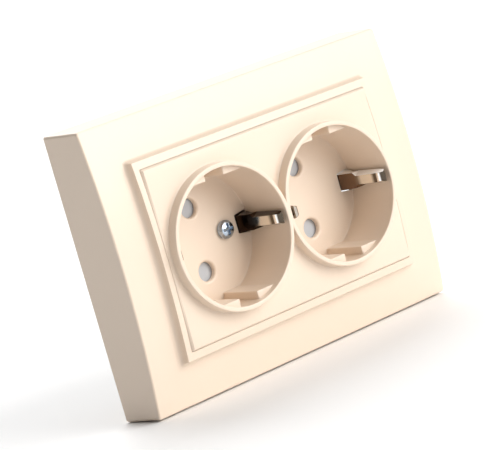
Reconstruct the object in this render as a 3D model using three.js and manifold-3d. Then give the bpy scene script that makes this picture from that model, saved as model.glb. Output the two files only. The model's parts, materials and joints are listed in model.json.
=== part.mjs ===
// Earthed double wall socket outlet for one flush box: two round wells with earth clips at their sides.
// Millimetres. +X is right and +Z is up as seen from the room, and +Y goes into the wall. The origin is
// the centre of the flush box in the wall plane, so the frame's back rim lies at y = 0.
import * as THREE from "three";
import { mergeVertices } from "three/addons/utils/BufferGeometryUtils.js";
import Module from "manifold-3d";

const wasm = await Module();
wasm.setup();

// ---- driving dimensions ----
const CLEAR = 0.3; // gap kept between neighbouring pieces

const FRAME_W = 114.5;
const FRAME_H = 83;
const FRAME_DRAFT = 0.4; // the back rim is this much wider on each side than the front edge
const FRAME_EDGE = 15.2; // depth of the side walls
const FRAME_CROWN = 3.1; // the face bulges this much at mid height
const FRAME_WALL = 2.4;
const RIM_W = 90.4; // raised bezel round the insert, at its rim
const RIM_H = 57.6;
const RIM_RISE = 2.5; // rim above the frame's face
const RIM_SLOPE = 1.15; // how far the bezel's foot stands out from its rim

const PLATE_W = 86.2; // the insert that carries the two wells
const PLATE_H = 52.4;
const PLATE_EDGE = 20.3; // height of the insert's upper and lower edges above the wall
const PLATE_CROWN = 0.6;
const PLATE_SEAT = 17.4; // height of the ledge that the insert rests on

const WELL_PITCH = 41.6; // between the centres of the wells
const WELL_R = 19.85;
const WELL_WALL = 1.5;
const WELL_FLOOR = -6.5; // y of the floor's face
const FLOOR_T = 1.6;
const COLLAR_Y = -24.1; // y of the collar's top
const COLLAR_R = 21.2;
const COLLAR_FOOT_R = 21.9;
const RIB_FLAT = 17.2; // chord of the guide ribs from the well's centre
const RIB_FRONT = -21.9;
const RIB_NOTCH = 3.3; // half width of the notch between two ribs

const PIN_SPACING = 19;
const PIN_HOLE_R = 2.8;
const COVER_SCREW_X = -WELL_PITCH / 2 + 9.9;

const CLIP_SHEET = 0.55;
const CLIP_SLOT = [14.6, 19.6]; // from the well's centre
const CLIP_SLOT_Z = 3.6;
const CLIP_FOOT_X = 17.3;
const CLIP_FOOT_Y = -2.7;
const SHORT_CLIP = 0.855; // reach of the leftmost clip against the others

const SHUTTER_PIVOT_R = 1.5;
const PEG_END = -2.75; // y where the floor's pegs end
const COVER_SCREW_HOLE_R = 1.9;

const BRACKET_W = 74;
const BRACKET_H = 71;
const BRACKET_T = 1.2;
const BOX_SCREWS = 60; // spacing of the flush box screws
const BOX_R = 28.8; // everything behind the wall plane stays inside this radius

const BASE_W = 54.4;
const FLANGE_H = 38.4;
const BODY_H = 29.2;
const BASE_WALL = 1.6;
const BODY_BACK = 20;
const BOSS_W = 50;
const BOSS_H = 26;

const CLAW_Z = 21.5; // height of the claws' pivots above and below the centre
const CLAW_PIVOT_Y = 3;
const CLAW_SCREW_Z = 25;
const CLAW_PIN_R = 0.9;
const RIVET_X = 12; // the rivets that hold the base to the bracket
const RIVET_Z = 16.9;
const RIVET_HOLE_R = 1.5;
const TERMINAL_X = 9.5;
const TERMINAL_WIRE_Z = 8.4;
const TERMINAL_SCREW_Y = 10;
const REAR_SCREW_X = 17.5;

const wellX = [-WELL_PITCH / 2, WELL_PITCH / 2];
const pinZ = PIN_SPACING / 2;

// ---- solids ----
function solid(geometry) {
  const bare = geometry.index ? geometry.toNonIndexed() : geometry.clone();
  bare.deleteAttribute("normal");
  bare.deleteAttribute("uv");
  const merged = mergeVertices(bare, 1e-4);
  const mesh = new wasm.Mesh({
    numProp: 3,
    vertProperties: new Float32Array(merged.attributes.position.array),
    triVerts: new Uint32Array(merged.index.array),
  });
  return new wasm.Manifold(mesh);
}

const join = (first, ...rest) => rest.reduce((sum, piece) => sum.add(piece), first);
const cut = (first, ...rest) => rest.reduce((left, piece) => left.subtract(piece), first);

// Each pair of ends may come in either order.
function box(x0, x1, y0, y1, z0, z1) {
  const geometry = new THREE.BoxGeometry(Math.abs(x1 - x0), Math.abs(y1 - y0), Math.abs(z1 - z0));
  return solid(geometry.translate((x0 + x1) / 2, (y0 + y1) / 2, (z0 + z1) / 2));
}

// A round bar along X, Y or Z from one end to the other; r1 is the radius at its far end.
function rod(axis, at, r0, from, to, r1 = r0, sides = 16) {
  if (from > to) return rod(axis, at, r1, to, from, r0, sides);
  const geometry = new THREE.CylinderGeometry(r1, r0, to - from, sides);
  geometry.translate(0, (from + to) / 2, 0);
  if (axis === "x") geometry.rotateZ(-Math.PI / 2);
  if (axis === "z") geometry.rotateX(Math.PI / 2);
  return solid(geometry.translate(...at));
}

const rodY = (x, z, r0, y0, y1, r1 = r0, sides = 16) => rod("y", [x, 0, z], r0, y0, y1, r1, sides);

// A flat piece parallel to the wall: an outline drawn in x and z, from y0 to y1.
function plate(outline, y0, y1, curveSegments = 5) {
  const options = { depth: y1 - y0, bevelEnabled: false, curveSegments };
  const geometry = new THREE.ExtrudeGeometry(outline, options);
  return solid(geometry.rotateX(Math.PI / 2).translate(0, y1, 0));
}

// A bar along X from x0 to x1 whose section is drawn in y and z.
function bar(section, x0, x1, curveSegments = 5) {
  const options = { depth: x1 - x0, bevelEnabled: false, curveSegments };
  const geometry = new THREE.ExtrudeGeometry(section, options);
  const turn = new THREE.Matrix4().makeBasis(
    new THREE.Vector3(0, 1, 0),
    new THREE.Vector3(0, 0, 1),
    new THREE.Vector3(1, 0, 0),
  );
  return solid(geometry.applyMatrix4(turn).translate(x0, 0, 0));
}

// A body turned about a line along Y through (x, z); the profile is [radius, y] from axis to axis.
function turned(profile, x = 0, z = 0, sides = 48) {
  const points = profile.map(([r, y]) => new THREE.Vector2(r, y));
  const one = solid(new THREE.LatheGeometry(points, sides));
  const body = one.volume() > 0 ? one : solid(new THREE.LatheGeometry(points.reverse(), sides));
  return body.translate([x, 0, z]);
}

// A body through four-cornered rings: each ring is { y, near, nearW, far, farW }, with the near side at
// x = near and half width nearW, and the far side at x = far and half width farW.
function ringLoft(rings) {
  const corners = rings.flatMap(({ y, near, nearW, far, farW }) => [
    [near, y, -nearW],
    [near, y, nearW],
    [far, y, farW],
    [far, y, -farW],
  ]);
  const faces = [[0, 1, 2], [0, 2, 3]];
  rings.slice(1).forEach((ring, k) => {
    for (let i = 0; i < 4; i += 1) {
      const a = 4 * k + i;
      const b = 4 * k + ((i + 1) % 4);
      faces.push([a, a + 4, b], [b, a + 4, b + 4]);
    }
  });
  const top = 4 * (rings.length - 1);
  faces.push([top, top + 2, top + 1], [top, top + 3, top + 2]);
  const mesh = (order) =>
    new wasm.Mesh({
      numProp: 3,
      vertProperties: new Float32Array(corners.flat()),
      triVerts: new Uint32Array(faces.flatMap(order)),
    });
  const body = new wasm.Manifold(mesh((face) => face));
  return body.volume() > 0 ? body : new wasm.Manifold(mesh(([a, b, c]) => [a, c, b]));
}

// A tapered block centred on the Y axis: width and height at two values of y.
function taper(y0, w0, h0, y1, w1, h1) {
  return ringLoft([
    { y: y0, near: -w0 / 2, nearW: h0 / 2, far: w0 / 2, farW: h0 / 2 },
    { y: y1, near: -w1 / 2, nearW: h1 / 2, far: w1 / 2, farW: h1 / 2 },
  ]);
}

function roundedRect(w, h, r) {
  const shape = new THREE.Shape();
  shape.moveTo(-w / 2 + r, -h / 2);
  shape.absarc(w / 2 - r, -h / 2 + r, r, -Math.PI / 2, 0, false);
  shape.absarc(w / 2 - r, h / 2 - r, r, 0, Math.PI / 2, false);
  shape.absarc(-w / 2 + r, h / 2 - r, r, Math.PI / 2, Math.PI, false);
  shape.absarc(-w / 2 + r, -h / 2 + r, r, Math.PI, 1.5 * Math.PI, false);
  return shape;
}

// A rectangle whose corners are trimmed to a circle, as the pieces inside the round flush box are.
function trimmedRect(w, h, r) {
  const side = Math.asin(Math.min(1, h / 2 / r));
  const end = Math.acos(Math.min(1, w / 2 / r));
  const shape = new THREE.Shape();
  shape.absarc(0, 0, r, end, side, false);
  shape.absarc(0, 0, r, Math.PI - side, Math.PI - end, false);
  shape.absarc(0, 0, r, Math.PI + end, Math.PI + side, false);
  shape.absarc(0, 0, r, -side, -end, false);
  return shape;
}

// The part of space behind a cylinder that bulges by crown towards the room over the height h.
function crowned(edge, crown, h, halfWidth) {
  const r = (crown * crown + (h * h) / 4) / (2 * crown);
  const centre = -(edge + crown) + r;
  const half = h / 2 + 1;
  const angle = Math.asin(half / r);
  const section = new THREE.Shape();
  section.moveTo(0, half);
  section.lineTo(0, -half);
  section.absarc(centre, 0, r, Math.PI + angle, Math.PI - angle, true);
  return bar(section, -halfWidth, halfWidth, 12);
}

// ---- scene graph ----
const outlet = new THREE.Group();
outlet.name = "wall_outlet";

const finish = {
  ivory: { color: 0xf3e4d0, roughness: 0.3, metalness: 0 },
  grey: { color: 0xc4c2c2, roughness: 0.45, metalness: 0 },
  nickel: { color: 0xcfcac2, roughness: 0.15, metalness: 1 },
  zinc: { color: 0xb9c3cb, roughness: 0.3, metalness: 1 },
  steel: { color: 0xa9a9a6, roughness: 0.4, metalness: 1 },
  brass: { color: 0xc9a557, roughness: 0.3, metalness: 1 },
  thermoset: { color: 0xe9e4da, roughness: 0.55, metalness: 0 },
};

function add(name, body, look) {
  const { vertProperties, triVerts } = body.getMesh();
  const geometry = new THREE.BufferGeometry();
  geometry.setAttribute("position", new THREE.BufferAttribute(new Float32Array(vertProperties), 3));
  geometry.setIndex(new THREE.BufferAttribute(new Uint32Array(triVerts), 1));
  geometry.computeVertexNormals();
  const mesh = new THREE.Mesh(geometry, new THREE.MeshStandardMaterial(finish[look]));
  mesh.name = name;
  outlet.add(mesh);
}

// ---- frame ----
function frame() {
  const back = FRAME_EDGE + FRAME_CROWN + 4; // a little past the front, so the crown does the cutting
  const grow = (FRAME_DRAFT * back) / FRAME_EDGE;
  const rimFoot = FRAME_EDGE - 2;
  const rimTop = FRAME_EDGE + FRAME_CROWN + RIM_RISE;
  const w0 = FRAME_W + 2 * FRAME_DRAFT;
  const h0 = FRAME_H + 2 * FRAME_DRAFT;
  const shell = crowned(FRAME_EDGE, FRAME_CROWN, FRAME_H, FRAME_W).intersect(
    taper(0, w0, h0, -back, w0 - 2 * grow, h0 - 2 * grow),
  );
  const spread = (RIM_SLOPE / RIM_RISE) * (rimTop - 0.7 - rimFoot);
  const bezel = crowned(FRAME_EDGE + RIM_RISE, FRAME_CROWN, FRAME_H, FRAME_W).intersect(
    taper(-rimFoot, RIM_W + 2 * spread, RIM_H + 2 * spread, -rimTop + 0.7, RIM_W, RIM_H).add(
      box(-RIM_W / 2, RIM_W / 2, -rimTop - 1, -rimTop + 0.7, -RIM_H / 2, RIM_H / 2),
    ),
  );
  const roomX = FRAME_W / 2 - FRAME_WALL;
  const roomZ = FRAME_H / 2 - FRAME_WALL;
  const inside = crowned(FRAME_EDGE - FRAME_WALL, FRAME_CROWN, FRAME_H, FRAME_W).intersect(
    box(-roomX, roomX, -30, 1, -roomZ, roomZ),
  );
  const seatW = PLATE_W + 2 * CLEAR;
  const seatH = PLATE_H + 2 * CLEAR;
  return cut(
    shell.add(bezel),
    inside.add(box(-40, 40, -1, 1, -30, 30)),
    box(-seatW / 2, seatW / 2, -40, -PLATE_SEAT, -seatH / 2, seatH / 2),
    box(-seatW / 2 + 0.8, seatW / 2 - 0.8, -40, 1, -seatH / 2 + 2.8, seatH / 2 - 2.8),
  );
}

// ---- cover plate with its two wells ----
function wellSpace(x) {
  const lip = 0.3;
  const fillet = 1.6;
  const floorR = WELL_R - 0.25; // the wall has a slight draft
  const corner = [0, 0.25, 0.5, 0.75, 1].map((t) => {
    const a = (t * Math.PI) / 2;
    return [floorR - fillet + fillet * Math.sin(a), WELL_FLOOR - fillet + fillet * Math.cos(a)];
  });
  const profile = [
    [0, WELL_FLOOR],
    ...corner,
    [WELL_R, COLLAR_Y + lip],
    [WELL_R + lip, COLLAR_Y],
    [WELL_R + lip, COLLAR_Y - 2],
    [0, COLLAR_Y - 2],
  ];
  return turned(profile, x);
}

function wellCup(x) {
  const lip = 0.3;
  const profile = [
    [0, WELL_FLOOR + FLOOR_T],
    [WELL_R + WELL_WALL, WELL_FLOOR + FLOOR_T],
    [WELL_R + WELL_WALL, -PLATE_SEAT - 2],
    [COLLAR_FOOT_R, -PLATE_EDGE - PLATE_CROWN + 0.2],
    [COLLAR_R + lip / 2, COLLAR_Y + lip],
    [COLLAR_R - lip, COLLAR_Y],
    [0, COLLAR_Y],
  ];
  return turned(profile, x);
}

// Four guide ribs: the part of a ring beyond a chord, with a notch at the top and one at the bottom.
function ribs(x) {
  const [reach, root] = [WELL_R + 0.7, WELL_FLOOR + 0.5];
  const ring = turned([[0, root], [reach, root], [reach, RIB_FRONT], [0, RIB_FRONT]], x);
  const blocks = [-1, 1].flatMap((up) =>
    [-1, 1].map((side) => {
      const notch = x + side * RIB_NOTCH;
      return box(notch, notch + side * 9, -40, 0, up * RIB_FLAT, up * (WELL_R + 1));
    }),
  );
  return ring.intersect(join(...blocks));
}

function pinHole(x, z) {
  const back = WELL_FLOOR + FLOOR_T + 1;
  const mouth = PIN_HOLE_R + 0.7; // the hole opens out towards the plug
  const profile = [
    [0, back],
    [PIN_HOLE_R, back],
    [PIN_HOLE_R, WELL_FLOOR + 0.7],
    [mouth, WELL_FLOOR],
    [mouth, WELL_FLOOR - 1],
    [0, WELL_FLOOR - 1],
  ];
  return turned(profile, x, z, 16);
}

function coverPlate() {
  const slab = crowned(PLATE_EDGE, PLATE_CROWN, PLATE_H, PLATE_W).intersect(
    box(-PLATE_W / 2, PLATE_W / 2, -30, -PLATE_SEAT - CLEAR, -PLATE_H / 2, PLATE_H / 2),
  );
  let cover = join(slab, ...wellX.map(wellCup));
  cover = cut(cover, ...wellX.map(wellSpace));
  cover = join(cover, ...wellX.map(ribs));
  for (const x of wellX) {
    cover = cut(cover, pinHole(x, pinZ), pinHole(x, -pinZ));
    for (const side of [-1, 1]) {
      const [near, far] = CLIP_SLOT.map((reach) => x + side * reach);
      cover = cut(cover, box(near, far, -9, 0, -CLIP_SLOT_Z, CLIP_SLOT_Z));
    }
    const pivot = rodY(x, 0, SHUTTER_PIVOT_R, WELL_FLOOR + 1, PEG_END);
    const springPeg = rodY(x + 5.2, -1.15, 0.6, WELL_FLOOR + 1, PEG_END, 0.6, 12);
    cover = join(cover, pivot, springPeg);
  }
  return cut(cover, rodY(COVER_SCREW_X, 0, COVER_SCREW_HOLE_R, -9, 0));
}

// ---- screws ----
// A pan-head cross-recess screw along Y whose head's bearing face is at y, with the head towards -Y.
function panScrew(x, z, y, headR, headT, shankR, length) {
  const dome = [[1, 0], [1, 0.45], [0.8, 0.85], [0.45, 1], [0, 1]];
  const profile = [[0, y], ...dome.map(([r, t]) => [r * headR, y - t * headT])];
  const arm = 0.62 * headR; // of the cross recess
  const slit = 0.16 * headR;
  const [top, bottom] = [y - 3 * headT, y - 0.45 * headT];
  const level = box(x - arm, x + arm, top, bottom, z - slit, z + slit);
  const upright = box(x - slit, x + slit, top, bottom, z - arm, z + arm);
  const tip = y + length - 0.6;
  const shank = rodY(x, z, shankR, y - 0.1, tip).add(rodY(x, z, shankR, tip, y + length, 0.6 * shankR));
  return cut(turned(profile, x, z, 16).add(shank), level, upright);
}

// The same screw turned so that its head looks along +Z (up = 1) or -Z (up = -1), bearing face at z.
function sideScrew(x, y, z, up, headR, headT, shankR, length) {
  return panScrew(0, 0, 0, headR, headT, shankR, length).rotate([-90 * up, 0, 0]).translate([x, y, up * z]);
}

// ---- shutters ----
function shutter(x) {
  const [front, back] = [WELL_FLOOR + FLOOR_T + CLEAR, -3.5];
  const padR = 3.7; // covers a pin hole
  const body = join(
    rodY(x, 0, 3, front, back),
    rodY(x, pinZ, padR, front, back),
    rodY(x, -pinZ, padR, front, back),
    box(x - 1.9, x + 1.9, front, back, -pinZ, pinZ),
    rodY(x - 1.25, 3.4, 0.5, back - 0.2, -2.8, 0.5, 12), // pushes the spring's other leg
  );
  return cut(body, rodY(x, 0, SHUTTER_PIVOT_R + CLEAR, -6, -2));
}

class SpringLine extends THREE.Curve {
  // One and a quarter turns round the pivot, with a straight leg at each end: the first leg lies under
  // the floor's peg, and the last one stands beside the shutter's peg. t runs along the wire.
  getPoint(t, target = new THREE.Vector3()) {
    const [radius, firstLeg, lastLeg] = [2.25, 6, 4.2];
    const arc = radius * 2.5 * Math.PI;
    const s = t * (firstLeg + arc + lastLeg) - firstLeg;
    const along = Math.min(Math.max(s, 0), arc);
    const a = along / radius - Math.PI / 2;
    const over = s - along;
    const turned = [radius * Math.cos(a) - over * Math.sin(a), radius * Math.sin(a) + over * Math.cos(a)];
    return target.set(-turned[0], -3.3 + 0.52 * (along / arc), turned[1]);
  }
}

function shutterSpring(x) {
  const wire = new THREE.Shape();
  wire.absarc(0, 0, 0.16, 0, 2 * Math.PI, false);
  const options = { steps: 44, curveSegments: 2, extrudePath: new SpringLine(), bevelEnabled: false };
  return solid(new THREE.ExtrudeGeometry(wire, options)).translate([x, 0, 0]);
}

// ---- earth clips and strap ----
// Stations of the clip's outer skin: distance from the well's centre and half widths at each y.
const clipRings = [
  { y: CLIP_FOOT_Y, near: 15, nearW: 2.45, far: 19, farW: 3.1 },
  { y: -6.5, near: 15, nearW: 2.45, far: 19, farW: 3.1 },
  { y: -9.2, near: 15.3, nearW: 2.45, far: 19, farW: 2.3 },
  { y: -12.2, near: 15.7, nearW: 2.4, far: 18.9, farW: 2.3 },
  { y: -13.4, near: 15.75, nearW: 1.35, far: 18.9, farW: 2.25 },
  { y: -18, near: 16, nearW: 1.35, far: 18.7, farW: 2.2 },
  { y: -21.4, near: 16.2, nearW: 1.35, far: 18.6, farW: 2.1 },
  { y: -22.4, near: 16.45, nearW: 1.33, far: 18.5, farW: 2.0 },
  { y: -23.2, near: 17, nearW: 1.3, far: 18.5, farW: 1.9 },
  { y: -23.6, near: 17.7, nearW: 1.25, far: 18.5, farW: 1.8 },
];

// A clip bent from sheet: a channel open towards the well's wall, wide at its foot and narrow above the
// shoulder, with a rounded end. Its height above the foot is scaled by reach.
function earthClip(x, side, reach) {
  const lift = (y) => CLIP_FOOT_Y + (y - CLIP_FOOT_Y) * reach;
  const last = clipRings.length - 1;
  const outer = clipRings.map((ring) => ({ ...ring, y: lift(ring.y) }));
  const inner = outer.map((ring, k) => ({
    y: ring.y + (k === 0 ? -CLIP_SHEET : 0) + (k === last ? CLIP_SHEET : 0),
    near: ring.near + CLIP_SHEET,
    nearW: ring.nearW - CLIP_SHEET * 0.9,
    far: 21,
    farW: ring.farW - CLIP_SHEET * 0.9,
  }));
  const room = ringLoft(inner.filter((ring, k) => k !== last - 1));
  const clip = cut(ringLoft(outer), room, rodY(CLIP_FOOT_X, 0, 1.2, -4, -2));
  return (side > 0 ? clip : clip.mirror([1, 0, 0])).translate([x, 0, 0]);
}

const clipPlaces = wellX.flatMap((x) => [-1, 1].map((side) => ({ x, side, foot: x + side * CLIP_FOOT_X })));

function earthStrap() {
  const [front, back] = [-2.4, -1.7];
  const end = WELL_PITCH / 2 + 19.4;
  const tabZ = -4.6;
  const half = 0.4;
  let strap = join(
    box(-end, end, front, back, -3, 3),
    box(-3, 3, front, back, tabZ - half, -2.5),
    box(-3, 3, front, 12.5, tabZ - half, tabZ + half),
    box(-3, 3, 12.2, 13, tabZ - half, 4),
  );
  strap = cut(strap, rodY(COVER_SCREW_X, 0, COVER_SCREW_HOLE_R, -4, 0), rodY(0, 0, 1.6, 11, 14));
  return cut(strap, ...clipPlaces.map(({ foot }) => rodY(foot, 0, 1.1, -4, 0)));
}

function clipRivet(foot) {
  return rodY(foot, 0, 0.8, -4, -1.7).add(rodY(foot, 0, 1.5, -4.1, -3.55, 1.7));
}

// ---- mounting bracket, base and rear cover ----
function bracket() {
  const slot = new THREE.Shape();
  const slotR = 1.8;
  const reach = 5;
  slot.absarc(reach, 0, slotR, -Math.PI / 2, Math.PI / 2, false);
  slot.absarc(-reach, 0, slotR, Math.PI / 2, 1.5 * Math.PI, false);
  let body = plate(roundedRect(BRACKET_W, BRACKET_H, 4), -BRACKET_T, 0);
  const windowX = BOSS_W / 2 + CLEAR;
  const windowZ = BOSS_H / 2 + CLEAR;
  body = cut(body, box(-windowX, windowX, -3, 1, -windowZ, windowZ));
  for (const up of [-1, 1]) {
    body = cut(body, plate(slot, -3, 1).translate([0, 0, (up * BOX_SCREWS) / 2]));
    body = cut(body, rodY(0, up * CLAW_SCREW_Z, 1.8, -3, 1));
    for (const side of [-1, 1]) {
      body = cut(body, rodY(side * RIVET_X, up * RIVET_Z, RIVET_HOLE_R, -3, 1));
      const ear = box(side * 5.2, side * 6.4, -0.2, 5.2, up * 19.8, up * 23.4);
      body = body.add(cut(ear, rod("x", [0, CLAW_PIVOT_Y, up * CLAW_Z], CLAW_PIN_R + CLEAR, -8, 8)));
    }
  }
  return body;
}

function bracketRivet(x, z) {
  const shank = rodY(x, z, RIVET_HOLE_R - CLEAR, -1.6, 2.7);
  return join(shank, rodY(x, z, 1.6, -2.2, -1.5, 2), rodY(x, z, 2, 2.6, 3.2, 1.7));
}

function rearScrew(x) {
  const screw = panScrew(0, 0, 0, 2.4, 1.4, 1, 8).rotate([0, 0, 180]);
  return screw.translate([x, BODY_BACK + BASE_WALL + 2 * CLEAR, 0]);
}

function socketBase() {
  const flangeFront = CLEAR;
  const flangeBack = 2.3;
  const roomW = BASE_W - 2 * BASE_WALL;
  const roomH = BODY_H - 2 * BASE_WALL;
  let base = join(
    plate(trimmedRect(BASE_W, FLANGE_H, BOX_R), flangeFront, flangeBack),
    plate(trimmedRect(BASE_W, BODY_H, BOX_R), flangeFront, BODY_BACK),
    box(-BOSS_W / 2, BOSS_W / 2, -1.4, 1, -BOSS_H / 2, BOSS_H / 2),
  );
  base = cut(base, plate(trimmedRect(roomW, roomH, BOX_R - BASE_WALL), 1.8, BODY_BACK + 1));
  for (const side of [-1, 1]) {
    base = base.add(rodY(side * REAR_SCREW_X, 0, 2.4, 1.5, BODY_BACK));
    base = cut(base, rodY(side * REAR_SCREW_X, 0, 1.3, 11, BODY_BACK + 1));
    for (const up of [-1, 1]) {
      base = cut(base, rodY((side * WELL_PITCH) / 2, up * pinZ, 3, -3, 3));
      base = cut(base, rodY(side * RIVET_X, up * RIVET_Z, RIVET_HOLE_R, -3, 4));
      base = cut(base, rod("z", [side * TERMINAL_X, TERMINAL_SCREW_Y, 0], 2.5, up * 12, up * 16));
    }
  }
  base = cut(base, rodY(COVER_SCREW_X, 0, COVER_SCREW_HOLE_R, -3, 3));
  return cut(base, box(-3.4, 3.4, -3, 3, -5.4, -3.8));
}

function rearCover() {
  const front = BODY_BACK + CLEAR;
  let cover = plate(trimmedRect(BASE_W, BODY_H, BOX_R), front, front + BASE_WALL);
  cover = cut(cover, rodY(0, 0, 3.4, 19, 23));
  for (const side of [-1, 1]) {
    cover = cut(cover, rodY(side * REAR_SCREW_X, 0, 1.5, 19, 23));
    for (const up of [-1, 1]) {
      cover = cut(cover, rodY(side * TERMINAL_X, up * TERMINAL_WIRE_Z, 2, 19, 23));
    }
  }
  return cover;
}

// ---- contacts ----
function contactSleeve(x, z) {
  const wall = 0.7;
  const inner = PIN_HOLE_R - 0.325; // a pin of 4.8 mm passes
  const tube = cut(rodY(x, z, inner + wall, 2.1, 14.2), rodY(x, z, inner, 1, 16));
  const towardsMiddle = z - Math.sign(z) * 6;
  return cut(tube, box(x - 0.4, x + 0.4, 1, 11, z, towardsMiddle)); // slit, so that the tube springs
}

function contactBar(up) {
  const holes = [-1, 1].map((side) => rodY(side * TERMINAL_X, up * TERMINAL_WIRE_Z, 1.8, 12, 18));
  return cut(box(-24, 24, 14.5, 15.3, up * 5.5, up * 12.5), ...holes);
}

function terminalBlock(x, up) {
  const block = box(x - 3, x + 3, 6, 14.2, up * 5.8, up * 12.4);
  const thread = rod("z", [x, TERMINAL_SCREW_Y, 0], 1.6, up * 8, up * 14);
  return cut(block, rodY(x, up * TERMINAL_WIRE_Z, 1.6, 4, 16), thread);
}

function hexNut(x, z, y0, y1, flats, hole) {
  const corner = flats / Math.sqrt(3);
  return cut(rodY(x, z, corner, y0, y1, corner, 6), rodY(x, z, hole, y0 - 1, y1 + 1));
}

// ---- spreading claws ----
function claw(up) {
  const near = CLAW_Z - 0.6;
  const far = CLAW_Z + 0.6;
  const halfW = 4.2;
  const prong = 1.9;
  const side = new THREE.Shape();
  side.moveTo(0.9, near);
  side.lineTo(21, near);
  side.lineTo(21, far + 3.4);
  side.lineTo(19.9, far + 1);
  side.lineTo(19.4, far + 2.6);
  side.lineTo(18.6, far);
  side.lineTo(0.9, far);
  const pivot = [0, CLAW_PIVOT_Y, CLAW_Z];
  let body = bar(side, -halfW, halfW).add(rod("x", pivot, 2, -halfW, halfW));
  body = cut(body, rod("x", pivot, CLAW_PIN_R + CLEAR, -9, 9), box(-prong, prong, 6, 30, 0, 40));
  return up > 0 ? body : body.mirror([0, 0, 1]);
}

function clawPin(up) {
  return rod("x", [0, CLAW_PIVOT_Y, up * CLAW_Z], CLAW_PIN_R, -7.2, 7.2);
}

// ---- assembly ----
add("frame", frame(), "ivory");
add("cover_plate", coverPlate(), "ivory");
add("cover_screw", panScrew(COVER_SCREW_X, 0, WELL_FLOOR - 0.3, 2.75, 1.9, 1.5, 13), "zinc");
add("cover_nut", hexNut(COVER_SCREW_X, 0, 2.1, 4.5, 5.5, 1.8), "zinc");
["left", "right"].forEach((name, k) => {
  add(`shutter_${name}`, shutter(wellX[k]), "grey");
  add(`shutter_spring_${name}`, shutterSpring(wellX[k]), "steel");
});
["left_outer", "left_inner", "right_inner", "right_outer"].forEach((name, k) => {
  const { x, side, foot } = clipPlaces[k];
  add(`earth_clip_${name}`, earthClip(x, side, k === 0 ? SHORT_CLIP : 1), "nickel");
  add(`clip_rivet_${name}`, clipRivet(foot), "brass");
});
add("earth_strap", earthStrap(), "nickel");
add("mounting_bracket", bracket(), "steel");
for (const [row, up] of [["upper", 1], ["lower", -1]]) {
  add(`bracket_rivet_${row}_left`, bracketRivet(-RIVET_X, up * RIVET_Z), "brass");
  add(`bracket_rivet_${row}_right`, bracketRivet(RIVET_X, up * RIVET_Z), "brass");
}
add("socket_base", socketBase(), "thermoset");
add("rear_cover", rearCover(), "thermoset");
add("rear_screw_left", rearScrew(-REAR_SCREW_X), "zinc");
add("rear_screw_right", rearScrew(REAR_SCREW_X), "zinc");
for (const [pole, up] of [["live", 1], ["neutral", -1]]) {
  add(`${pole}_bar`, contactBar(up), "brass");
  ["left", "right"].forEach((name, k) => {
    const side = 2 * k - 1;
    add(`${pole}_sleeve_${name}`, contactSleeve(wellX[k], up * pinZ), "brass");
    add(`${pole}_terminal_${name}`, terminalBlock(side * TERMINAL_X, up), "brass");
    const screw = sideScrew(side * TERMINAL_X, TERMINAL_SCREW_Y, 12.7, up, 2.1, 1.5, 1.3, 2.6);
    add(`${pole}_terminal_screw_${name}`, screw, "zinc");
  });
}
add("earth_clamp_plate", cut(box(-3, 3, 13.3, 14.2, -3, 3), rodY(0, 0, 1.6, 12, 16)), "nickel");
const earthScrew = panScrew(0, 0, 0, 2.6, 1.6, 1.3, 6).rotate([0, 0, 180]);
add("earth_terminal_screw", earthScrew.translate([0, 14.5, 0]), "zinc");
for (const [place, up] of [["upper", 1], ["lower", -1]]) {
  add(`claw_${place}`, claw(up), "zinc");
  add(`claw_pin_${place}`, clawPin(up), "steel");
  const clawScrew = panScrew(0, up * CLAW_SCREW_Z, -BRACKET_T - CLEAR, 2.6, 1.5, 1.4, 17);
  add(`claw_screw_${place}`, clawScrew, "zinc");
}

export default outlet;
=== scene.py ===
import json
import math

import bmesh
import bpy
import numpy as np
from mathutils import Matrix, Vector
from mathutils.geometry import delaunay_2d_cdt

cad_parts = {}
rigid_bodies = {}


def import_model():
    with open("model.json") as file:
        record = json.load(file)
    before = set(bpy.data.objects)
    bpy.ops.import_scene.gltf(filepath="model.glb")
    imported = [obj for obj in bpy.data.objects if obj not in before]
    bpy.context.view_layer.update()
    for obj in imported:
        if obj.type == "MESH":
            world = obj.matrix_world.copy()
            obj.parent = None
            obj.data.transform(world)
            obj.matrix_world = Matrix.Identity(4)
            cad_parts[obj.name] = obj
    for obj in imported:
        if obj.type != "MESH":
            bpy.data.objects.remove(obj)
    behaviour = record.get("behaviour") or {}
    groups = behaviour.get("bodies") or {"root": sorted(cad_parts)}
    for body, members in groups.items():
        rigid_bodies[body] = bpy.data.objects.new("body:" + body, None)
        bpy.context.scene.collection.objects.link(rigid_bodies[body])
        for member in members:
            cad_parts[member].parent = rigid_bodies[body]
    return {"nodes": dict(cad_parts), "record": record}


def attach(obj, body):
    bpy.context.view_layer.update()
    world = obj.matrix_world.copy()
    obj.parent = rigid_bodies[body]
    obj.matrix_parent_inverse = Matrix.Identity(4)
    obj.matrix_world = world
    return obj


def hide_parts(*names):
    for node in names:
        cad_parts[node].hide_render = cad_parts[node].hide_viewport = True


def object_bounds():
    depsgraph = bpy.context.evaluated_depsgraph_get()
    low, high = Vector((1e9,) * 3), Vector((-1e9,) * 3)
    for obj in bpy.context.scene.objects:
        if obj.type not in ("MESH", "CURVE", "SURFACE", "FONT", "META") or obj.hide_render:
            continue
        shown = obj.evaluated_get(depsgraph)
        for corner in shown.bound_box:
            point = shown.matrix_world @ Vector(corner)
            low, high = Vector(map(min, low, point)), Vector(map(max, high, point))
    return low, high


for leftover in list(bpy.data.objects):  # the startup scene's own objects
    bpy.data.objects.remove(leftover)
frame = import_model()
bpy.context.view_layer.update()
cad_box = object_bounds()

MM = 0.001  # metres in a millimetre

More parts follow.
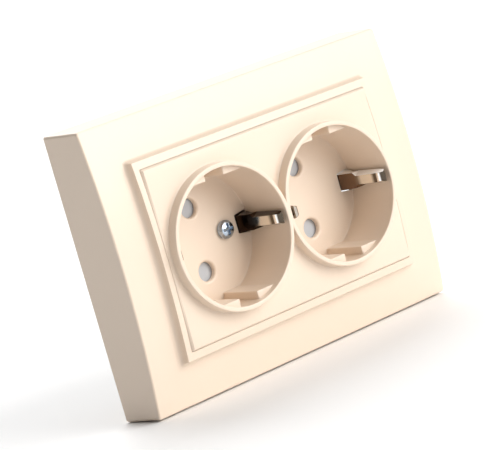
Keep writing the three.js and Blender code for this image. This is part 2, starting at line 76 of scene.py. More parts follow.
# ---- sizes of the frame and the insert, whose fine surfaces are made here, in millimetres ----
FRAME_W, FRAME_H = 115.3, 83.8  # at the back rim, on the wall
FRONT_LESS = 0.8  # the front edge is this much narrower and lower than the back rim
FRAME_EDGE, FRAME_CROWN = 15.2, 3.1  # depth of the side walls, and how much more at mid height
FRAME_WALL = 2.4
RIM_W, RIM_H = 90.4, 57.6  # the bezel at its rim
RIM_RISE, RIM_SLOPE = 2.5, 1.15  # its rim above the frame's face, and how far its foot stands out
PLATE_W, PLATE_H = 86.2, 52.4  # the insert
PLATE_EDGE, PLATE_CROWN, PLATE_SEAT = 20.3, 0.6, 17.4  # its face, its bulge, and the ledge it rests on
CLEAR = 0.3  # between neighbouring pieces
FINE_FIT = 0.19  # how far the insert's fine surface reaches into that clearance


# ---- node materials ----
class Paint:
    """A material's node tree, with short calls for the nodes that these finishes share."""

    def __init__(self, name):
        self.material = bpy.data.materials.new(name)
        self.material.use_nodes = True
        self.tree = self.material.node_tree
        self.shader = self.tree.nodes["Principled BSDF"]
        self.place = self.tree.nodes.new("ShaderNodeTexCoord").outputs["Object"]

    def node(self, kind, links=(), **settings):
        """A new node; links gives a socket or a plain value for each named input."""
        made = self.tree.nodes.new("ShaderNode" + kind)
        for name, value in settings.items():
            setattr(made, name, value)
        for socket, source in dict(links).items():
            if isinstance(source, bpy.types.NodeSocket):
                self.tree.links.new(source, made.inputs[socket])
            else:
                made.inputs[socket].default_value = source
        return made

    def noise(self, per_mm, detail=3.0, rough=0.5, stretch=(1, 1, 1)):
        """Noise with about per_mm waves for each millimetre, drawn out along the axes by stretch."""
        place = self.node(
            "Mapping", {"Vector": self.place, "Scale": [per_mm / MM / s for s in stretch]}
        )
        texture = self.node(
            "TexNoise",
            {"Vector": place.outputs[0], "Scale": 1.0, "Detail": detail, "Roughness": rough},
        )
        return texture.outputs["Fac"]

    def spread(self, value, low, high):
        """A 0..1 value around its middle, turned into low..high."""
        return self.node(
            "MapRange",
            {"Value": value, "From Min": 0.1, "From Max": 0.9, "To Min": low, "To Max": high},
        ).outputs[0]

    def blend(self, value, low, high):
        """A 0..1 value turned into a colour between low and high."""
        mix = self.node("Mix", data_type="RGBA")
        self.tree.links.new(value, mix.inputs["Factor"])
        mix.inputs["A"].default_value = (*low, 1)
        mix.inputs["B"].default_value = (*high, 1)
        return mix.outputs["Result"]

    def bump(self, value, height_mm, normal=None):
        """A normal that a height map tilts, on top of another normal where one is given."""
        made = self.node(
            "Bump", {"Strength": 1.0, "Distance": height_mm * MM, "Height": value}
        )
        if normal is not None:
            self.tree.links.new(normal, made.inputs["Normal"])
        return made.outputs[0]

    def set(self, **values):
        """Sets or links the shader's inputs, with _ for the spaces in their names."""
        for name, value in values.items():
            socket = self.shader.inputs[name.replace("_", " ")]
            if isinstance(value, bpy.types.NodeSocket):
                self.tree.links.new(value, socket)
            else:
                socket.default_value = value


def moulded(name, pale, deep, rough, grain_mm, ripple_mm=0.0, gloss=0.5):
    """Moulded plastic: faint clouding of the colour, a fine skin, and slow ripples of the tool."""
    paint = Paint(name)
    cloud = paint.noise(0.03, detail=1)
    fine = paint.noise(1.5, detail=0)
    skin = paint.bump(fine, grain_mm)
    if ripple_mm:
        skin = paint.bump(paint.noise(0.09, detail=1), ripple_mm, skin)
    paint.set(
        Base_Color=paint.blend(cloud, deep, pale),
        Roughness=paint.spread(paint.noise(0.05, detail=2), rough * 0.97, rough * 1.03),
        Normal=skin,
        IOR=1.5,
        Specular_IOR_Level=gloss,
    )
    return paint.material


def plated(name, bright, dull, rough, stretch, scratch_mm, per_mm=4.0):
    """Plated or bare sheet metal, with the fine lines of its rolling or turning."""
    paint = Paint(name)
    lines = paint.noise(per_mm, detail=5, rough=0.6, stretch=stretch)
    patches = paint.noise(0.25, detail=4)
    paint.set(
        Base_Color=paint.blend(patches, dull, bright),
        Metallic=1.0,
        Roughness=paint.spread(paint.noise(0.9, detail=4), rough * 0.7, rough * 1.4),
        Normal=paint.bump(lines, scratch_mm),
    )
    return paint.material


CLIP_TIP_Y, CLIP_SHADE_Y = -24.0, -12.0  # depths between which the clips' painted shade, painted reflections and painted highlights change tone


def clip_plating(name, tones, flange, flange_metal):
    """Bright nickel with painted shade and painted reflections on its foot and painted highlights at its tip:
    tones along the clip's depth, and its upper flange in one tone, a painted highlight or a painted dark
    reflection.
    """
    paint = Paint(name)
    depth = paint.node("SeparateXYZ", {"Vector": paint.place}).outputs["Y"]
    deepest, tip = CLIP_SHADE_Y * MM, CLIP_TIP_Y * MM
    along = paint.node("MapRange", {"Value": depth, "From Min": tip, "From Max": deepest})
    ramp = paint.node("ValToRGB", {"Fac": along.outputs[0]})
    stops = ramp.color_ramp.elements
    while len(stops) < len(tones):
        stops.new(0.5)
    for stop, (y, tone) in zip(stops, sorted(tones.items())):
        stop.position = (y * MM - tip) / (deepest - tip)
        stop.color = (*tone, 1)
    # painted light: faces turned upwards take the flange's one tone, a painted highlight on one clip and a
    # painted dark reflection on the other
    normal = paint.node("NewGeometry").outputs["Normal"]
    lift = paint.node("SeparateXYZ", {"Vector": normal}).outputs["Z"]
    painted_flange_mask = paint.node("MapRange", {"Value": lift, "From Min": 0.45, "From Max": 0.75}).outputs[0]
    whole = paint.node("Mix", data_type="RGBA")
    paint.tree.links.new(painted_flange_mask, whole.inputs["Factor"])
    paint.tree.links.new(ramp.outputs["Color"], whole.inputs["A"])
    whole.inputs["B"].default_value = (*flange, 1)
    metal = paint.node(
        "MapRange", {"Value": painted_flange_mask, "To Min": 1.0, "To Max": flange_metal}
    ).outputs[0]
    lines = paint.noise(4.0, detail=4, stretch=(1, 12, 1))
    paint.set(
        Base_Color=whole.outputs["Result"],
        Metallic=metal,
        Roughness=paint.spread(paint.noise(0.9), 0.08, 0.16),
        Normal=paint.bump(lines, 0.0008),
    )
    return paint.material


def ivory():
    """Glossy ivory plastic with a thin clear coat."""
    material = moulded(
        "ivory", (0.815, 0.676, 0.548), (0.8, 0.662, 0.534), 0.28, 0.00012, ripple_mm=0.0008
    )
    shader = material.node_tree.nodes["Principled BSDF"]
    shader.inputs["Coat Weight"].default_value = 0.15
    shader.inputs["Coat Roughness"].default_value = 0.12
    return material


LOOKS = {
    "ivory": ivory(),
    "shutter_grey": moulded(
        "shutter_grey", (0.52, 0.54, 0.57), (0.47, 0.49, 0.52), 0.42, 0.0015
    ),
    "thermoset": moulded("thermoset", (0.74, 0.70, 0.62), (0.66, 0.61, 0.53), 0.5, 0.004),
    "nickel": plated("nickel", (0.56, 0.51, 0.44), (0.47, 0.42, 0.36), 0.11, (1, 12, 1), 0.0012),
    "zinc": plated("zinc", (0.50, 0.58, 0.68), (0.38, 0.45, 0.54), 0.2, (3, 1, 3), 0.0015),
    "brass": plated("brass", (0.83, 0.60, 0.25), (0.72, 0.49, 0.19), 0.26, (10, 1, 1), 0.0015),
    "steel": plated("steel", (0.62, 0.62, 0.60), (0.48, 0.48, 0.47), 0.34, (10, 1, 1), 0.002, 2.0),
}

# tones along the earth clips, by depth in millimetres: painted shade and painted reflections on the feet,
# painted shade bands and a painted glint at the tips, plain nickel taupe along the tongue
TAUPE, SHADE, GLINT = (0.62, 0.56, 0.48), (0.10, 0.08, 0.06), (0.95, 0.93, 0.90)
# painted shade bands and a painted glint across the rounded tip
PAINTED_TIP_BANDS = {-23.6: SHADE, -23.1: SHADE, -22.8: GLINT, -22.1: GLINT, -21.7: SHADE, -20.9: SHADE}
CLIP_LOOKS = {
    # this clip: painted near-black reflections on its foot and flange, painted shade bands and glint at its
    # tip
    "earth_clip_left_inner": clip_plating(
        "nickel_painted_dark_reflections",
        PAINTED_TIP_BANDS | {-19.6: TAUPE, -16.0: TAUPE, -14.6: SHADE, -13.0: (0.03, 0.016, 0.01)},
        (0.05, 0.03, 0.02),
        1.0,
    ),
    # this clip: painted brown shade on its foot, a painted white highlight on its flange, painted shade bands
    # and glint at its tip
    "earth_clip_right_outer": clip_plating(
        "nickel_painted_lit_flange",
        PAINTED_TIP_BANDS | {-19.6: TAUPE, -15.4: TAUPE, -13.9: (0.2, 0.15, 0.11), -12.5: (0.16, 0.10, 0.065)},
        (0.97, 0.96, 0.94),
        0.05,
    ),
}


# ---- modifiers for the CAD pieces ----
EDGE_ANGLE = 32  # degrees; sharper edges of the CAD pieces are rounded and kept sharp
FLAT_ANGLE = 0.6  # degrees; faces closer than this are one face


def soften_group(angle_deg):
    """Smooth shading with the edges sharper than an angle left sharp."""
    group = bpy.data.node_groups.new("soften", "GeometryNodeTree")
    group.interface.new_socket("Geometry", in_out="INPUT", socket_type="NodeSocketGeometry")
    group.interface.new_socket("Geometry", in_out="OUTPUT", socket_type="NodeSocketGeometry")
    nodes, links = group.nodes, group.links
    start, end = nodes.new("NodeGroupInput"), nodes.new("NodeGroupOutput")
    smooth = nodes.new("GeometryNodeSetShadeSmooth")
    smooth.inputs["Shade Smooth"].default_value = True
    sharp = nodes.new("GeometryNodeSetShadeSmooth")
    sharp.domain = "EDGE"
    sharp.inputs["Shade Smooth"].default_value = False
    angle = nodes.new("GeometryNodeInputMeshEdgeAngle")
    above = nodes.new("FunctionNodeCompare")
    above.data_type = "FLOAT"
    above.operation = "GREATER_THAN"
    above.inputs["B"].default_value = math.radians(angle_deg)
    links.new(start.outputs[0], smooth.inputs["Geometry"])
    links.new(smooth.outputs[0], sharp.inputs["Geometry"])
    links.new(angle.outputs["Unsigned Angle"], above.inputs["A"])
    links.new(above.outputs[0], sharp.inputs["Selection"])
    links.new(sharp.outputs[0], end.inputs[0])
    return group


SOFTEN = soften_group(EDGE_ANGLE)


def dress_node(name, slot, edge_mm, segments=3):
    """A CAD node gets welded faces, rounded edges, smooth shading and its material."""
    node = frame["nodes"][name]
    node.data.materials.clear()
    node.data.materials.append(CLIP_LOOKS.get(name, LOOKS[slot]))
    weld = node.modifiers.new("weld", "WELD")
    weld.merge_threshold = 1e-6
    flat = node.modifiers.new("flat", "DECIMATE")
    flat.decimate_type = "DISSOLVE"
    flat.angle_limit = math.radians(FLAT_ANGLE)
    if edge_mm:
        edge = node.modifiers.new("edge", "BEVEL")
        edge.width = edge_mm * MM
        edge.segments = segments
        edge.limit_method = "ANGLE"
        edge.angle_limit = math.radians(EDGE_ANGLE)
        edge.use_clamp_overlap = True
        edge.miter_outer = "MITER_ARC"
    soft = node.modifiers.new("soften", "NODES")
    soft.node_group = SOFTEN
    even = node.modifiers.new("even", "WEIGHTED_NORMAL")
    even.keep_sharp = True


USUAL_EDGE_MM = 0.1
EDGE_MM = {
    "mounting_bracket": 0.12,
    "socket_base": 0.3,
    "rear_cover": 0.3,
    "shutter_left": 0.2,
    "shutter_right": 0.2,
    "shutter_spring_left": 0,
    "shutter_spring_right": 0,
}
for part in frame["record"]["subparts"]:
    if part["node"] in ("frame", "cover_plate"):
        continue  # their fine surfaces are made below
    dress_node(part["node"], part["material_slot"], EDGE_MM.get(part["node"], USUAL_EDGE_MM))


# ---- fine surfaces ----
def encloses(outline, spot):
    """Whether a closed outline goes round a spot."""
    x0, z0 = outline[:, 0], outline[:, 1]
    x1, z1 = np.roll(x0, -1), np.roll(z0, -1)
    across = (z0 > spot.y) != (z1 > spot.y)
    x = x0[across] + (spot.y - z0[across]) * (x1 - x0)[across] / (z1 - z0)[across]
    return int((x > spot.x).sum() % 2)


def grid_within(rim, step):
    """Grid points over the rim's extent that keep clear of its own points."""
    clear = 0.4 * step
    count_x, count_z = int(max(p.x for p in rim) / step), int(max(p.y for p in rim) / step)
    spots = [
        Vector((i * step, k * step))
        for i in range(-count_x, count_x + 1)
        for k in range(-count_z, count_z + 1)
    ]
    return [spot for spot in spots if min((spot - p).length_squared for p in rim) > clear**2]


SHARP_ANGLE = 38  # degrees; the made surfaces stay sharp at edges over this
WELD_M = 4e-6


class Skin:
    """A closed surface gathered from lofts and fills, in millimetres, and welded when it is finished."""

    def __init__(self):
        self.mesh = bmesh.new()

    def face(self, corners):
        """One face, unless it is in the plane between the wells."""
        on_web = all(abs(corner.co.x) < 1e-9 for corner in corners)
        if on_web:
            return  # it would lie inside the web between the wells
        self.mesh.faces.new(corners)

    def loft(self, rings):
        """Quads between one ring and the next, all rings with the same number of points."""
        rows = [[self.mesh.verts.new(Vector(p) * MM) for p in ring] for ring in rings]
        for low, high in zip(rows, rows[1:]):
            for i in range(len(low)):
                j = (i + 1) % len(low)
                self.face((low[i], low[j], high[j], high[i]))

    def fill(self, loops, bulged=None, step=None):
        """Closes the area between the first loop and the others; with a step it gets inner points too."""
        flat = [Vector((x, z)) for loop in loops for x, y, z in loop]
        depths = [y for loop in loops for x, y, z in loop]
        edges, first = [], 0
        for loop in loops:
            count = len(loop)
            edges += [(first + i, first + (i + 1) % count) for i in range(count)]
            first += count
        if step:
            inner = grid_within(flat, step)
            flat += inner
            depths += [bulged(spot.y) for spot in inner]
        spots, _, faces, source, _, _ = delaunay_2d_cdt(flat, edges, [], 0, 1e-7)
        outlines = [np.array([(x, z) for x, y, z in loop]) for loop in loops]
        corners = []
        for spot, origin in zip(spots, source):
            y = depths[origin[0]] if origin else depths[0]
            corners.append(self.mesh.verts.new(Vector((spot.x, y, spot.y)) * MM))
        for face in faces:
            middle = sum((spots[i] for i in face), Vector((0, 0))) / len(face)
            if sum(encloses(outline, middle) for outline in outlines) % 2:
                self.mesh.faces.new([corners[i] for i in face])

    def take_mirrored(self, other):
        """Adds another skin, mirrored in the plane between the wells."""
        for vertex in other.mesh.verts:
            vertex.co.x = -vertex.co.x
        lent = bpy.data.meshes.new("lent")
        other.mesh.to_mesh(lent)
        other.mesh.free()
        self.mesh.from_mesh(lent)
        bpy.data.meshes.remove(lent)

    def finish(self, name, slot, node, body):
        """Welds the surface, marks its sharp edges and makes it the piece that stands in for a CAD node."""
        bmesh.ops.remove_doubles(self.mesh, verts=self.mesh.verts, dist=WELD_M)
        bmesh.ops.dissolve_degenerate(self.mesh, edges=self.mesh.edges, dist=1e-6)
        bmesh.ops.recalc_face_normals(self.mesh, faces=self.mesh.faces)
        for face in self.mesh.faces:
            face.smooth = True
        for edge in self.mesh.edges:
            if len(edge.link_faces) == 2:
                edge.smooth = edge.calc_face_angle(0) < math.radians(SHARP_ANGLE)
        data = bpy.data.meshes.new(name)
        self.mesh.to_mesh(data)
        self.mesh.free()
        data.materials.append(LOOKS[slot])
        piece = bpy.data.objects.new(name, data)
        bpy.context.scene.collection.objects.link(piece)
        even = piece.modifiers.new("even", "WEIGHTED_NORMAL")
        even.keep_sharp = True
        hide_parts(node)
        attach(piece, body)
        return piece


def bulge(z, edge, crown, height):
    """How far a face that bulges by crown over height stands off the wall at z."""
    r = (crown * crown + height * height / 4) / (2 * crown)
    return edge + crown - r + math.sqrt(r * r - z * z)


def eased_step(t):
    """0 to 1 with a slow start and end, and no further on either side."""
    t = min(1, max(0, t))
    return t * t * (3 - 2 * t)


def bend(start, knee, end, steps):
    """Points on a soft bend from start to end that heads for the knee, both ends included."""
    points = []
    for k in range(steps + 1):
        t = k / steps
        a, b, c = (1 - t) ** 2, 2 * t * (1 - t), t * t
        points.append(tuple(a * p + b * q + c * r for p, q, r in zip(start, knee, end)))
    return points


def rounded(width, height, radius, corner=8, along=44, upright=36):
    """A rounded rectangle in x and z, always with the same number of points."""
    corners = []
    for k, (sx, sz) in enumerate(((1, -1), (1, 1), (-1, 1), (-1, -1))):
        cx, cz = sx * (width / 2 - radius), sz * (height / 2 - radius)
        turns = [(k - 1 + i / corner) * math.pi / 2 for i in range(corner + 1)]
        corners.append([(cx + radius * math.cos(a), cz + radius * math.sin(a)) for a in turns])
    points = []
    for k, arc in enumerate(corners):
        points += arc
        (x0, z0), (x1, z1) = arc[-1], corners[(k + 1) % 4][0]
        count = along if k % 2 else upright
        for i in range(1, count):
            t = i / count
            points.append((x0 + t * (x1 - x0), z0 + t * (z1 - z0)))
    return points


# ---- frame ----
def frame_face(z):
    """How far the frame's crowned face stands off the wall."""
    return bulge(z, FRAME_EDGE, FRAME_CROWN, FRAME_H - FRONT_LESS)


def frame_under(z):
    return frame_face(z) - FRAME_WALL


def frame_ring(width, height, radius, depth):
    """A rounded rectangle whose distance off the wall follows depth(z)."""
    return [(x, -depth(z), z) for x, z in rounded(width, height, radius)]


def frame_sides(front_w, front_h):
    """From the back rim up the side walls and round the fillet at the front edge."""
    fillet, corner, rim_flat = 0.6, 0.9, 0.15
    rings = [frame_ring(FRAME_W, FRAME_H, corner, lambda z: 0.0)]
    rings.append(frame_ring(FRAME_W, FRAME_H, corner, lambda z: rim_flat))
    for t in (0.35, 0.7):
        less = FRONT_LESS * t
        rings.append(
            frame_ring(FRAME_W - less, FRAME_H - less, corner, lambda z, t=t: t * (frame_face(z) - fillet))
        )
    steps = 6
    for k in range(steps + 1):
        a = k / steps * math.pi / 2
        inset, drop = fillet * (1 - math.cos(a)), fillet * (1 - math.sin(a))
        width, height = front_w - 2 * inset, front_h - 2 * inset
        rings.append(frame_ring(width, height, corner - inset, lambda z, drop=drop: frame_face(z) - drop))
    return rings, (front_w - 2 * fillet, front_h - 2 * fillet)


def frame_bezel(wide):
    """The face from the fillet inwards, and the bezel's hollow slope up to its rim."""
    foot = RIM_SLOPE + 0.2
    narrow = (RIM_W + 2 * foot, RIM_H + 2 * foot)
    rings, steps = [], 9
    for k in range(1, steps):
        t = k / steps
        width, height = (w + t * (n - w) for w, n in zip(wide, narrow))
        rings.append(frame_ring(width, height, 0.3 + t * 0.6, frame_face))
    slope = bend((foot, 0), (0.42, 0.08), (0.16, RIM_RISE - 0.8), 9)
    edge = bend((0.06, RIM_RISE - 0.14), (0.04, RIM_RISE), (-0.1, RIM_RISE), 5)
    for out, rise in slope + edge:
        radius = max(0.35 + 0.4 * out, 0.3)
        rings.append(
            frame_ring(RIM_W + 2 * out, RIM_H + 2 * out, radius, lambda z, rise=rise: frame_face(z) + rise)
        )
    return rings


def frame_inside(front_w, front_h):
    """From the bezel's inner edge down to the insert's ledge, and the hollow back."""
    radius, ledge_w, ledge_h = 0.5, 0.8, 2.8
    seat_w, seat_h = PLATE_W + 2 * CLEAR, PLATE_H + 2 * CLEAR
    rings = []
    for out, drop in ((0.04, 0.0), (0.01, 0.01), (0.0, 0.04)):
        rise = RIM_RISE - drop
        rings.append(
            frame_ring(seat_w + 2 * out, seat_h + 2 * out, radius, lambda z, rise=rise: frame_face(z) + rise)
        )
    hole_w, hole_h = seat_w - 2 * ledge_w, seat_h - 2 * ledge_h
    rings.append(frame_ring(seat_w, seat_h, radius, lambda z: PLATE_SEAT))
    rings.append(frame_ring(hole_w, hole_h, radius, lambda z: PLATE_SEAT))
    rings.append(frame_ring(hole_w, hole_h, radius, frame_under))
    inner_w, inner_h = front_w - 2 * FRAME_WALL, front_h - 2 * FRAME_WALL
    steps = 5
    for k in range(1, steps + 1):
        t = k / steps
        width, height = hole_w + t * (inner_w - hole_w), hole_h + t * (inner_h - hole_h)
        rings.append(frame_ring(width, height, radius + 0.5 * t, frame_under))
    rings.append(frame_ring(inner_w, inner_h, 1.0, lambda z: 0.0))
    return rings


def add_frame():
    """Side walls, crowned face, raised bezel, ledge for the insert and the hollow back, as one loft."""
    front_w, front_h = FRAME_W - FRONT_LESS, FRAME_H - FRONT_LESS
    sides, face_size = frame_sides(front_w, front_h)
    skin = Skin()
    skin.loft(sides + frame_bezel(face_size) + frame_inside(front_w, front_h) + sides[:1])
    return skin.finish("frame_shell", "ivory", "frame", "root")


# ---- cover plate ----
WELL_R, WELL_FLOOR, FLOOR_BACK = 19.85, -6.5, -4.9
HALF_PITCH = 20.8  # from the plane between the wells to each well's centre
COLLAR_Y, COLLAR_FOOT_R, COLLAR_R = -24.1, 22.3, 21.2
CUP_R = 21.35  # outside of the cup that stands behind each well
RIB_FLAT, RIB_FRONT, RIB_NOTCH, RIB_EDGE = 17.2, -21.9, 3.3, 0.3
RIB_ROUND = 0.35  # rounding of the corners at the notch between the ribs
FLOOR_FILLET, SLOT_FILLET = 0.3, 0.06  # where the wall meets the floor; beside a clip slot only the second
PLATE_UNDER = -PLATE_SEAT - CLEAR
PIN_Z, PIN_HOLE_R, PIN_MOUTH_R = 9.5, 2.8, 3.7
SCREW_X, SCREW_HOLE_R, SCREW_MOUTH_R = 9.9, 1.9, 2.2
PEGS = ((0, 0, 1.5), (5.2, -1.15, 0.6))  # shutter's pivot and stop behind the floor: x, z, radius
PEG_END = -2.75
WELL_DRAFT = 19.6 / 19.85  # the well is this much narrower at its floor


def plate_top(z):
    """Depth of the insert's crowned face."""
    return -bulge(z, PLATE_EDGE, PLATE_CROWN, PLATE_H)


def plate_rim(z):
    """The insert's margin slopes down to the bezel round it."""
    proud = 0.03
    return max(plate_top(z), -frame_face(z) - RIM_RISE - proud)


def meeting_angle(radius):
    """Where a circle of this radius round a well's centre meets the plane between the wells."""
    return math.acos(HALF_PITCH / radius)


def well_quarter():
    """A quarter of the outline from +X to +Z: [place, direction into the wall, its eased direction]."""
    arc_steps, rib_steps, round_steps, side_steps, crest_steps = 34, 12, 4, 6, 7

    def on_wall(a):
        return WELL_R * math.cos(a), WELL_R * math.sin(a), math.cos(a), math.sin(a)

    chord = math.asin(RIB_FLAT / WELL_R)
    turns = {chord * i / arc_steps for i in range(arc_steps)}
    turns |= {meeting_angle(COLLAR_FOOT_R), meeting_angle(CUP_R)}
    outline = [on_wall(a) for a in sorted(turns)]
    left = RIB_NOTCH + RIB_ROUND
    right = WELL_R * math.cos(chord)
    outline += [(right + (left - right) * i / rib_steps, RIB_FLAT, 0, 1) for i in range(rib_steps)]
    for i in range(round_steps + 1):
        a = -math.pi / 2 * (1 + i / round_steps)
        x, z = left + RIB_ROUND * math.cos(a), RIB_FLAT + RIB_ROUND + RIB_ROUND * math.sin(a)
        outline.append((x, z, -math.cos(a), -math.sin(a)))
    top = math.sqrt(WELL_R**2 - RIB_NOTCH**2)
    side = top - RIB_FLAT - RIB_ROUND
    outline += [(RIB_NOTCH, top - side + side * i / side_steps, 1, 0) for i in range(1, side_steps)]
    crest = math.atan2(top, RIB_NOTCH)
    outline += [on_wall(crest + (math.pi / 2 - crest) * i / crest_steps) for i in range(crest_steps + 1)]
    # at each inner corner the floor's fillet turns from one wall to the other: direction and reach
    knees = {(right, RIB_FLAT): (0.267, 1.0, 2.2), (RIB_NOTCH, top): (1.0, 0.846, 1.6)}
    eased = []
    for x, z, nx, nz in outline:
        ex, ez = nx, nz
        for (kx, kz), (mx, mz, reach) in knees.items():
            t = eased_step(math.hypot(x - kx, z - kz) / reach)
            ex, ez = mx + t * (ex - mx), mz + t * (ez - mz)
        eased.append((x, z, nx, nz, ex, ez))
    return eased


def well_columns():
    """The whole outline of a well, counter-clockwise from +X."""
    quarter = well_quarter()
    half = quarter + [(-x, z, -a, b, -c, d) for x, z, a, b, c, d in quarter[-2::-1]]
    return half + [(x, -z, a, -b, c, -d) for x, z, a, b, c, d in half[-2:0:-1]]


COLUMNS = well_columns()


def held_in(x, z):
    """A place pulled back to the well's wall where it lies outside it."""
    size = math.hypot(x, z)
    return (x, z) if size <= WELL_R else (x * WELL_R / size, z * WELL_R / size)


def circle(x, y, z, radius, count=40):
    turns = [2 * math.pi * i / count for i in range(count)]
    return [(x + radius * math.cos(a), y, z + radius * math.sin(a)) for a in turns]


def split_at_web(profile_of):
    """Rings of a round wall that stops where it meets the other well's; profile_of gives one column's
    [radius, y] from the outside in."""
    columns = []
    for x, z, *_ in COLUMNS:
        a = math.atan2(z, x)
        faces_web = math.cos(a) > 0.5
        reach = HALF_PITCH / math.cos(a) if faces_web else math.inf
        profile = profile_of(a)
        inside = next((k for k, (r, y) in enumerate(profile) if r <= reach + 1e-9), None)
        if inside is None:
            profile = [(reach, profile[-1][1])] * len(profile)
        elif inside:
            (r0, y0), (r1, y1) = profile[inside - 1], profile[inside]
            t = (r0 - reach) / (r0 - r1) if r0 > r1 else 1
            profile = [(reach, y0 + t * (y1 - y0))] * inside + profile[inside:]
        columns.append([(r * math.cos(a) - HALF_PITCH, y, r * math.sin(a)) for r, y in profile])
    return [[column[k] for column in columns] for k in range(len(columns[0]))]


def around_both(ring, radius):
    """The outline of both wells' rings of this radius together."""
    start = meeting_angle(radius)
    tiny = 1e-4
    left = [p for p in ring if p[0] < 1e-6 and math.hypot(p[0] + HALF_PITCH, p[2]) > radius - tiny]
    left.sort(key=lambda p: (math.atan2(p[2], p[0] + HALF_PITCH) - start + 1e-7) % (2 * math.pi))
    return left + [(-x, y, z) for x, y, z in left[-2:0:-1]]


def collar_profile(a):
    """The collar at one angle: its crisp foot, its wall and its rounded top."""
    z = COLLAR_FOOT_R * math.sin(a)
    base = plate_top(z)
    profile = bend((COLLAR_FOOT_R, base), (21.38, base), (21.36, base - 0.12), 4)
    lip = COLLAR_Y + 0.4
    profile += bend((COLLAR_R + 0.02, lip), (COLLAR_R, COLLAR_Y), (COLLAR_R - 0.35, COLLAR_Y), 5)
    return profile + bend((WELL_R + 0.4, COLLAR_Y), (WELL_R, COLLAR_Y), (WELL_R, lip), 5)


def cup_profile(a):
    """The outside of the cup behind the well, the same at every angle."""
    return [(CUP_R, PLATE_UNDER)] + bend((CUP_R, -5.4), (CUP_R, FLOOR_BACK), (20.9, FLOOR_BACK), 3)


def well_rings():
    """The well's wall from below the lip to its floor, with the ribs."""
    edge_steps, floor_steps = 3, 6
    rings = [[(*held_in(x * 2, z * 2), RIB_FRONT) for x, z, *_ in COLUMNS]]
    for k in range(edge_steps + 1):
        a = k / edge_steps * math.pi / 2
        out, drop = RIB_EDGE * (1 - math.sin(a)), RIB_EDGE * (1 - math.cos(a))
        rings.append(
            [(*held_in(x + nx * out, z + nz * out), RIB_FRONT + drop) for x, z, nx, nz, *_ in COLUMNS]
        )
    slot_x, slot_half, slot_fade = 12, 3.7, 2.0
    for k in range(floor_steps + 1):
        a = k / floor_steps * math.pi / 2
        ring = []
        for x, z, nx, nz, ex, ez in COLUMNS:
            beside_slot = abs(x) > slot_x
            t = eased_step((abs(z) - slot_half) / slot_fade) if beside_slot else 1
            radius = SLOT_FILLET + FLOOR_FILLET * t
            inset = radius * (1 - math.cos(a))
            ring.append(
                (
                    x * WELL_DRAFT - ex * inset,
                    z * WELL_DRAFT - ez * inset,
                    WELL_FLOOR - radius * (1 - math.sin(a)),
                )
            )
        rings.append(ring)
    return [[(x - HALF_PITCH, y, z) for x, z, y in ring] for ring in rings]


def clip_slot(side, y):
    """Outline of the slot that an earth clip comes through, at one depth."""
    near, far = 14.8, 19.15
    corners = [(near, -2.8), (far, -3.4), (far, 3.4), (near, 2.8)]
    return [(side * x - HALF_PITCH, y, z) for x, z in corners]


def add_round_hole(skin, x, z, mouth):
    """A hole through the floor, its mouth given as [radius, depth below the floor]; returns both rims."""
    rings = [circle(x, WELL_FLOOR + y, z, r) for r, y in mouth]
    rings.append(circle(x, FLOOR_BACK, z, mouth[-1][0]))
    skin.loft(rings)
    return rings[0], rings[-1]


def add_clip_slot(skin, side):
    rims = clip_slot(side, WELL_FLOOR), clip_slot(side, FLOOR_BACK)
    skin.loft(rims)
    return rims


def add_peg(skin, x, z, radius):
    """A peg with a chamfered end behind the floor; returns the rim at its root."""
    chamfer = ((FLOOR_BACK, radius), (PEG_END - 0.15, radius), (PEG_END, radius - 0.12))
    rings = [circle(x, y, z, r, 24) for y, r in chamfer]
    skin.loft(rings)
    skin.fill([rings[-1]])
    return rings[0]


def add_well(skin, screw):
    """Collar, wall, ribs, floor with its holes, and cup of the left well; the screw hole is optional."""
    collar = split_at_web(collar_profile)
    skin.loft(collar)
    walls = well_rings()
    skin.loft([collar[-1], walls[0]])
    skin.loft(walls)
    cup = split_at_web(cup_profile)
    skin.loft(cup)
    pin_mouth = bend((PIN_MOUTH_R, 0), (2.85, 0), (PIN_HOLE_R, 0.75), 5)
    screw_mouth = bend((SCREW_MOUTH_R, 0), (SCREW_HOLE_R, 0), (SCREW_HOLE_R, 0.3), 3)
    rims = [add_round_hole(skin, -HALF_PITCH, z, pin_mouth) for z in (-PIN_Z, PIN_Z)]
    if screw:
        rims.append(add_round_hole(skin, SCREW_X - HALF_PITCH, 0, screw_mouth))
    rims += [add_clip_slot(skin, side) for side in (-1, 1)]
    roots = [add_peg(skin, x - HALF_PITCH, z, radius) for x, z, radius in PEGS]
    skin.fill([walls[-1]] + [front for front, _ in rims])
    skin.fill([cup[-1]] + [back for _, back in rims] + roots)
    return collar[0], cup[0]


def add_cover_plate():
    """The insert: both wells, its crowned face and its underside, as one closed surface."""
    skin = Skin()
    foot, cup = add_well(skin, screw=True)
    other = Skin()
    add_well(other, screw=False)
    skin.take_mirrored(other)
    corner = 0.6
    width, height = PLATE_W + 2 * FINE_FIT, PLATE_H + 2 * FINE_FIT
    rings = [[(x, PLATE_UNDER, z) for x, z in rounded(width, height, corner)]]
    for inset, rise, drop in ((0, 0, 0.03), (0.03, 0, 0), (0.45, 0.9, 0), (0.6, 1, 0)):
        outline = rounded(width - 2 * inset, height - 2 * inset, max(corner - inset, 0.1))
        rings.append(
            [(x, plate_rim(z) + rise * (plate_top(z) - plate_rim(z)) + drop, z) for x, z in outline]
        )
    skin.loft(rings)
    grid_mm = 2.0
    skin.fill([rings[-1], around_both(foot, COLLAR_FOOT_R)], plate_top, grid_mm)
    skin.fill([rings[0], around_both(cup, CUP_R)])
    return skin.finish("cover_plate_shell", "ivory", "cover_plate", "root")


add_frame()
add_cover_plate()


# ---- camera ----
def unit(azimuth, elevation):
    """Direction from the outlet to a viewer, in degrees round from its front and up from level."""
    a, e = math.radians(azimuth), math.radians(elevation)
    return Vector((-math.sin(a) * math.cos(e), -math.cos(a) * math.cos(e), math.sin(e)))


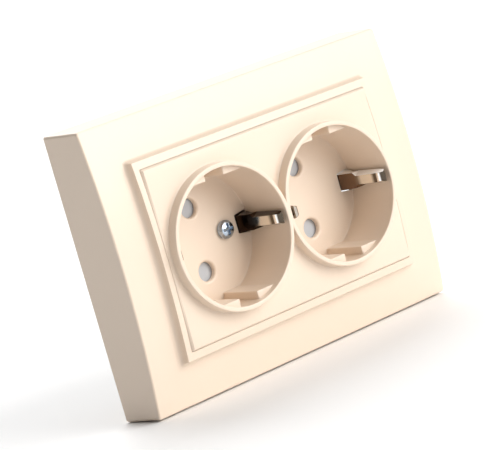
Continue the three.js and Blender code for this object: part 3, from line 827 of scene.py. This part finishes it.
def add_camera():
    """It looks from the left of the outlet's axis and a little above it, and is rolled as the picture was."""
    azimuth, elevation, roll = 38.038, 7.965, math.radians(-15.934)
    distance, target = 0.710065, Vector((-0.007951, -0.015, -0.00013))
    lens_mm, sensor_mm = 178.82, 36
    back = unit(azimuth, elevation)
    level = Vector((0, 0, 1)).cross(back).normalized()
    upright = back.cross(level)
    right = math.cos(roll) * level + math.sin(roll) * upright
    up = math.cos(roll) * upright - math.sin(roll) * level
    data = bpy.data.cameras.new("camera")
    data.lens, data.sensor_width = lens_mm, sensor_mm
    camera = bpy.data.objects.new("camera", data)
    camera.matrix_world = Matrix(
        [
            [right.x, up.x, back.x, 0],
            [right.y, up.y, back.y, 0],
            [right.z, up.z, back.z, 0],
            [0, 0, 0, 1],
        ]
    )
    camera.location = target + distance * back
    bpy.context.scene.collection.objects.link(camera)
    bpy.context.scene.camera = camera


add_camera()


# ---- floor and light ----
def add_floor():
    """A plain pale floor under the outlet, out to the horizon."""
    half, gap = 30, 0.0001  # metres; the gap keeps the floor off the outlet's lower edge
    mesh = bpy.data.meshes.new("floor")
    corners = [(-half, -half, 0), (half, -half, 0), (half, half, 0), (-half, half, 0)]
    mesh.from_pydata(corners, [], [(0, 1, 2, 3)])
    floor = bpy.data.objects.new("floor", mesh)
    floor.location.z = cad_box[0].z - gap
    bpy.context.scene.collection.objects.link(floor)
    paint = Paint("floor")
    paint.set(Base_Color=(0.97, 0.97, 0.97, 1), Roughness=0.7, Specular_IOR_Level=0.2)
    mesh.materials.append(paint.material)


def add_light(name, direction, strength, spread_deg, tint):
    """A wide soft light, far off."""
    data = bpy.data.lights.new(name, "SUN")
    data.energy = strength
    data.angle = math.radians(spread_deg)
    data.color = tint
    light = bpy.data.objects.new(name, data)
    light.rotation_euler = (-Vector(direction)).to_track_quat("-Z", "Y").to_euler()
    bpy.context.scene.collection.objects.link(light)


def add_world(middle, swing, towards, backdrop, behind):
    """Soft light from all round, brighter towards one side, with a pale backdrop behind the outlet."""
    world = bpy.data.worlds.new("studio")
    world.use_nodes = True
    nodes, links = world.node_tree.nodes, world.node_tree.links
    nodes["Background"].inputs["Color"].default_value = (1, 1, 1, 1)
    place = nodes.new("ShaderNodeTexCoord")

    def facing(direction):
        dot = nodes.new("ShaderNodeVectorMath")
        dot.operation = "DOT_PRODUCT"
        dot.inputs[1].default_value = Vector(direction).normalized()
        links.new(place.outputs["Generated"], dot.inputs[0])
        return dot.outputs["Value"]

    def math_node(operation, *values):
        made = nodes.new("ShaderNodeMath")
        made.operation = operation
        for socket, value in zip(made.inputs, values):
            if isinstance(value, bpy.types.NodeSocket):
                links.new(value, socket)
            else:
                socket.default_value = value
        return made.outputs[0]

    dimmest, falloff = 0.02, 3.0
    around = math_node("MULTIPLY_ADD", facing(towards), swing, middle)
    around = math_node("MAXIMUM", around, dimmest)
    glow = math_node("POWER", math_node("MAXIMUM", facing(behind), 0.0), falloff)
    level = math_node("MULTIPLY_ADD", glow, backdrop, around)
    links.new(level, nodes["Background"].inputs["Strength"])
    bpy.context.scene.world = world


add_floor()
add_world(0.20, 0.56, (0.76, -0.4, 0.5), 0.95, (0.5, 0.85, 0.1))
add_light("key", (0.43, -0.86, 0.42), 2.4, 50, (1.0, 0.985, 0.965))
add_light("back", (0.3, 0.6, 0.75), 1.7, 45, (1.0, 1.0, 1.0))
bpy.context.scene.view_settings.view_transform = "Standard"
bpy.context.scene.view_settings.look = "None"

bpy.context.view_layer.update()
